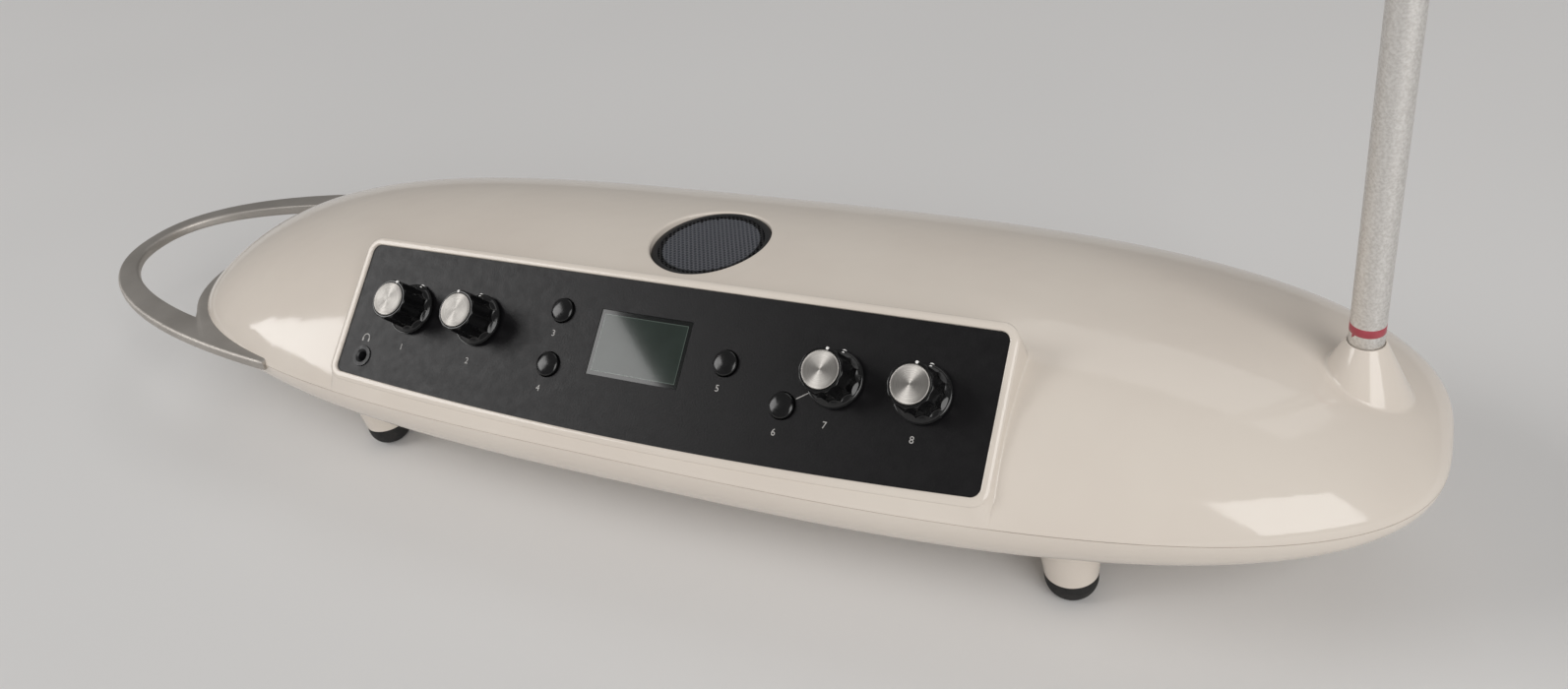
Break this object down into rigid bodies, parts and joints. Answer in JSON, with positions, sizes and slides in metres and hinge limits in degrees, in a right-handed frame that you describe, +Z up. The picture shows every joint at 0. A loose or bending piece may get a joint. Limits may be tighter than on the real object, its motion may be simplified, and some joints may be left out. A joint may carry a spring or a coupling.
{
  "type": "theremin",
  "caption": "Tabletop theremin: a cream pebble-shaped case with a black sloping control panel, a flat volume loop on the left and an upright pitch rod on the right.",
  "frame": {"origin": "on the table, under the middle of the outline's bounding box", "axes": "+X to the player's right along the case, +Y away from the player, +Z up along the pitch rod"},
  "size_m": [0.5468, 0.1497, 0.4428],
  "materials": {
    "shell": "gloss",
    "loop": "satin",
    "panel": "satin",
    "knob": "gloss",
    "button": "gloss",
    "rocker": "satin",
    "knob_cap": "spun",
    "rod": "bead-blasted satin",
    "band": "satin",
    "brass": "turned",
    "grille_steel": "satin",
    "plated_steel": "satin",
    "magnet_steel": "satin",
    "screws": "satin",
    "cone_paper": "matte",
    "display_glass": "gloss",
    "dark_plastic": "satin",
    "pot_body": "satin",
    "board": "satin",
    "copper": "satin",
    "leg_rubber": "matte"
  },
  "bodies": {
    "case": {"top_shell": "shell", "bottom_shell": "shell", "leg_tips": "leg_rubber", "case_screws": "screws", "stand_insert": "brass", "control_panel": "panel", "display_window": "display_glass", "display_module": "dark_plastic", "control_board": "board", "control_pots": "pot_body", "preset_encoder": "pot_body", "button_switches": "dark_plastic", "headphone_jack": "dark_plastic", "speaker_grille": "grille_steel", "speaker_basket": "grille_steel", "speaker_cone": "cone_paper", "speaker_magnet": "magnet_steel", "speaker_screws": "screws", "antenna_socket": "brass", "pitch_board": "board", "pitch_coil": "copper", "volume_loop": "loop", "loop_screws": "screws", "volume_board": "board", "volume_coil": "copper", "rear_panel": "panel", "usb_plate": "panel", "rear_board": "board", "line_jacks": "dark_plastic", "cv_jack": "dark_plastic", "usb_socket": "plated_steel", "power_inlet": "dark_plastic", "power_switch": "dark_plastic", "board_screws": "screws"},
    "volume": {"volume_knob": "knob", "volume_knob_cap": "knob_cap", "volume_shaft": "plated_steel"},
    "correction": {"correction_knob": "knob", "correction_knob_cap": "knob_cap", "correction_shaft": "plated_steel"},
    "amount": {"amount_knob": "knob", "amount_knob_cap": "knob_cap", "amount_shaft": "plated_steel"},
    "preset": {"preset_knob": "knob", "preset_knob_cap": "knob_cap", "preset_shaft": "plated_steel"},
    "scale": {"scale_button": "button"},
    "root": {"root_button": "button"},
    "setup": {"setup_button": "button"},
    "effect": {"effect_button": "button"},
    "antenna": {"antenna_rod": "rod", "antenna_band": "band", "antenna_plug": "brass"},
    "rocker": {"power_rocker": "rocker"}
  },
  "joints": [
    {"name": "volume_turn", "type": "hinge", "parent": "case", "child": "volume", "pos_m": [-0.06085, -0.04775, 0.07369], "axis": [0, -0.6494, 0.7604], "range_deg": [-150, 150]},
    {"name": "correction_turn", "type": "hinge", "parent": "case", "child": "correction", "pos_m": [-0.03055, -0.04775, 0.07369], "axis": [0, -0.6494, 0.7604], "range_deg": [-150, 150]},
    {"name": "amount_turn", "type": "hinge", "parent": "case", "child": "amount", "pos_m": [0.10635, -0.04775, 0.07369], "axis": [0, -0.6494, 0.7604], "range_deg": [-150, 150]},
    {"name": "preset_turn", "type": "hinge", "parent": "case", "child": "preset", "pos_m": [0.13435, -0.04775, 0.07369], "axis": [0, -0.6494, 0.7604], "continuous": true},
    {"name": "scale_press", "type": "slide", "parent": "case", "child": "scale", "axis": [0, 0.6494, -0.7604], "range_m": [0, 0.0008], "stiffness_N_per_m": 1500},
    {"name": "root_press", "type": "slide", "parent": "case", "child": "root", "axis": [0, 0.6494, -0.7604], "range_m": [0, 0.0008], "stiffness_N_per_m": 1500},
    {"name": "setup_press", "type": "slide", "parent": "case", "child": "setup", "axis": [0, 0.6494, -0.7604], "range_m": [0, 0.0008], "stiffness_N_per_m": 1500},
    {"name": "effect_press", "type": "slide", "parent": "case", "child": "effect", "axis": [0, 0.6494, -0.7604], "range_m": [0, 0.0008], "stiffness_N_per_m": 1500},
    {"name": "antenna_lift", "type": "slide", "parent": "case", "child": "antenna", "axis": [0, 0, 1], "range_m": [0, 0.03]},
    {"name": "power_rock", "type": "hinge", "parent": "case", "child": "rocker", "pos_m": [-0.02365, 0.0609, 0.0474], "axis": [1, 0, 0], "range_deg": [-16, 0]}
  ]
}
